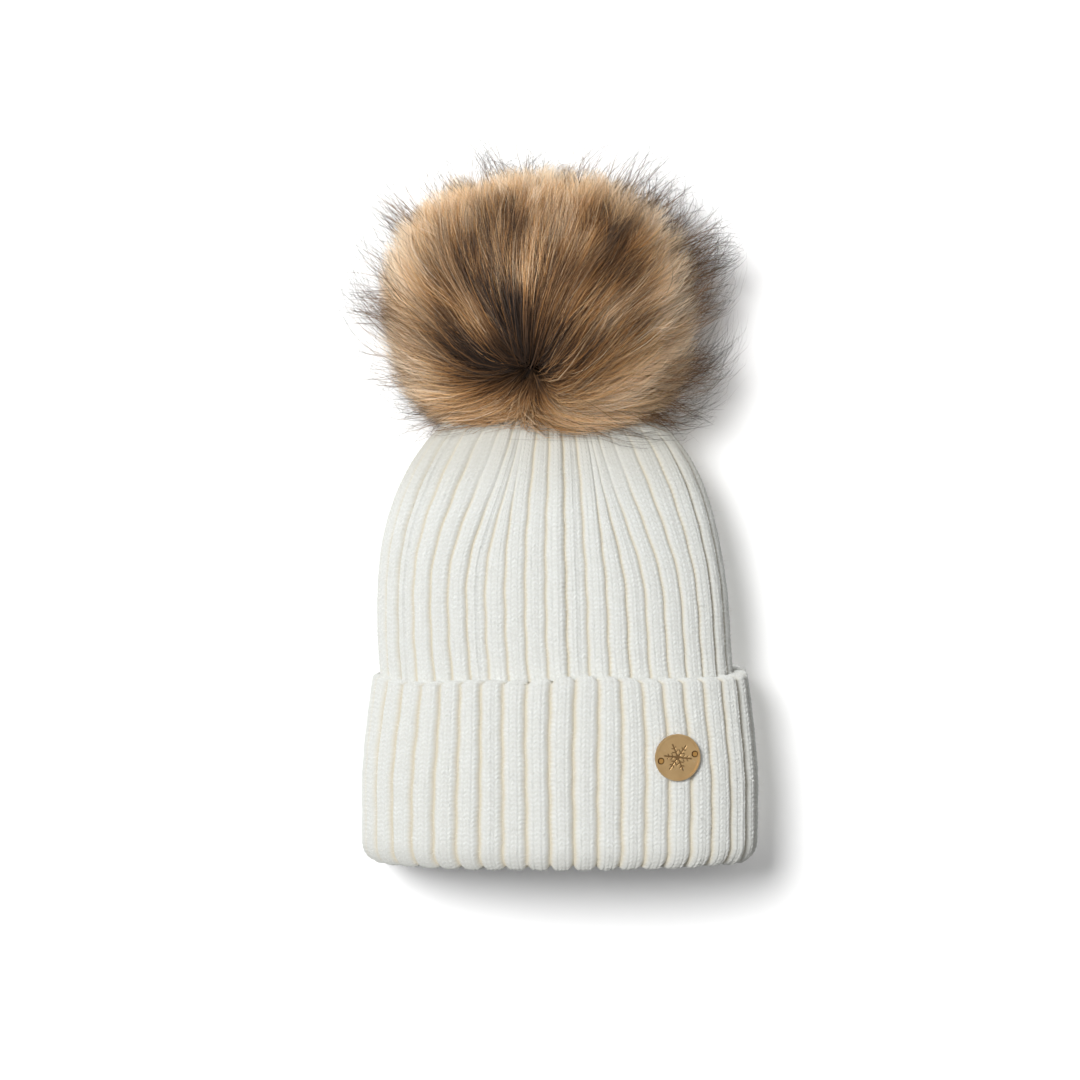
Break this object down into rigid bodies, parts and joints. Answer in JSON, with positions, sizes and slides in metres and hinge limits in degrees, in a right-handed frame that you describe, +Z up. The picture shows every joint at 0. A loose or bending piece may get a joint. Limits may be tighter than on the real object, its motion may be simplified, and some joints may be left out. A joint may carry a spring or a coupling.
{
  "type": "pom pom beanie",
  "caption": "Chunky ribbed knit beanie with a deep turn-up cuff, a round brass badge on the cuff and a large detachable fur pom on a press stud.",
  "frame": {"origin": "centre of the head opening, in the plane of the cuff's lower edge", "axes": "+Z up through the crown to the pom, -Y the front that carries the badge, +X the side the badge is on"},
  "size_m": [0.1964, 0.132, 0.345],
  "materials": {
    "knit": "matt, softly fuzzy rib knit",
    "thread": "matt twisted thread",
    "tape": "smooth woven tape",
    "felt": "matt pressed felt",
    "snap_metal": "satin",
    "backing": "matt knitted backing cloth",
    "wadding": "loose fibre wadding",
    "fur": "long soft pile with dark tips",
    "badge_brass": "satin, lightly engraved",
    "rivet_brass": "polished"
  },
  "bodies": {
    "hat": {"knit_body": "knit", "back_seam": "thread", "crown_dart_seams": "thread", "care_label": "tape"},
    "cuff": {"cuff": "knit", "badge_disc": "badge_brass", "badge_rivets": "rivet_brass", "badge_washers": "rivet_brass"},
    "crown_gather": {"crown_gather": "knit", "gather_cord": "thread"},
    "snap_seat": {"crown_button": "knit", "crown_patch": "felt", "snap_socket": "snap_metal", "snap_socket_cap": "snap_metal"},
    "snap_ring": {"snap_spring": "snap_metal"},
    "pom": {"snap_stud": "snap_metal", "snap_stud_cap": "snap_metal", "pom_base": "felt", "pom_drawstring": "thread", "pom_skin": "backing", "pom_filling": "wadding", "pom_fur": "fur"}
  },
  "joints": [
    {"name": "cuff_slide", "type": "slide", "parent": "hat", "child": "cuff", "axis": [0, 0, 1], "range_m": [-0.015, 0]},
    {"name": "pom_nod", "type": "hinge", "parent": "hat", "child": "crown_gather", "pos_m": [-0.004, 0, 0.2315], "axis": [1, 0, 0], "range_deg": [-12, 12], "stiffness_Nm_per_rad": 0.3},
    {"name": "pom_sway", "type": "hinge", "parent": "crown_gather", "child": "snap_seat", "pos_m": [-0.004, 0, 0.2315], "axis": [0, 1, 0], "range_deg": [-12, 12], "stiffness_Nm_per_rad": 0.3},
    {"name": "pom_turn", "type": "hinge", "parent": "snap_seat", "child": "snap_ring", "pos_m": [-0.004, 0, 0.2315], "axis": [0, 0, 1], "continuous": true},
    {"name": "pom_unsnap", "type": "slide", "parent": "snap_ring", "child": "pom", "axis": [0, 0, 1], "range_m": [0, 0.06]}
  ]
}
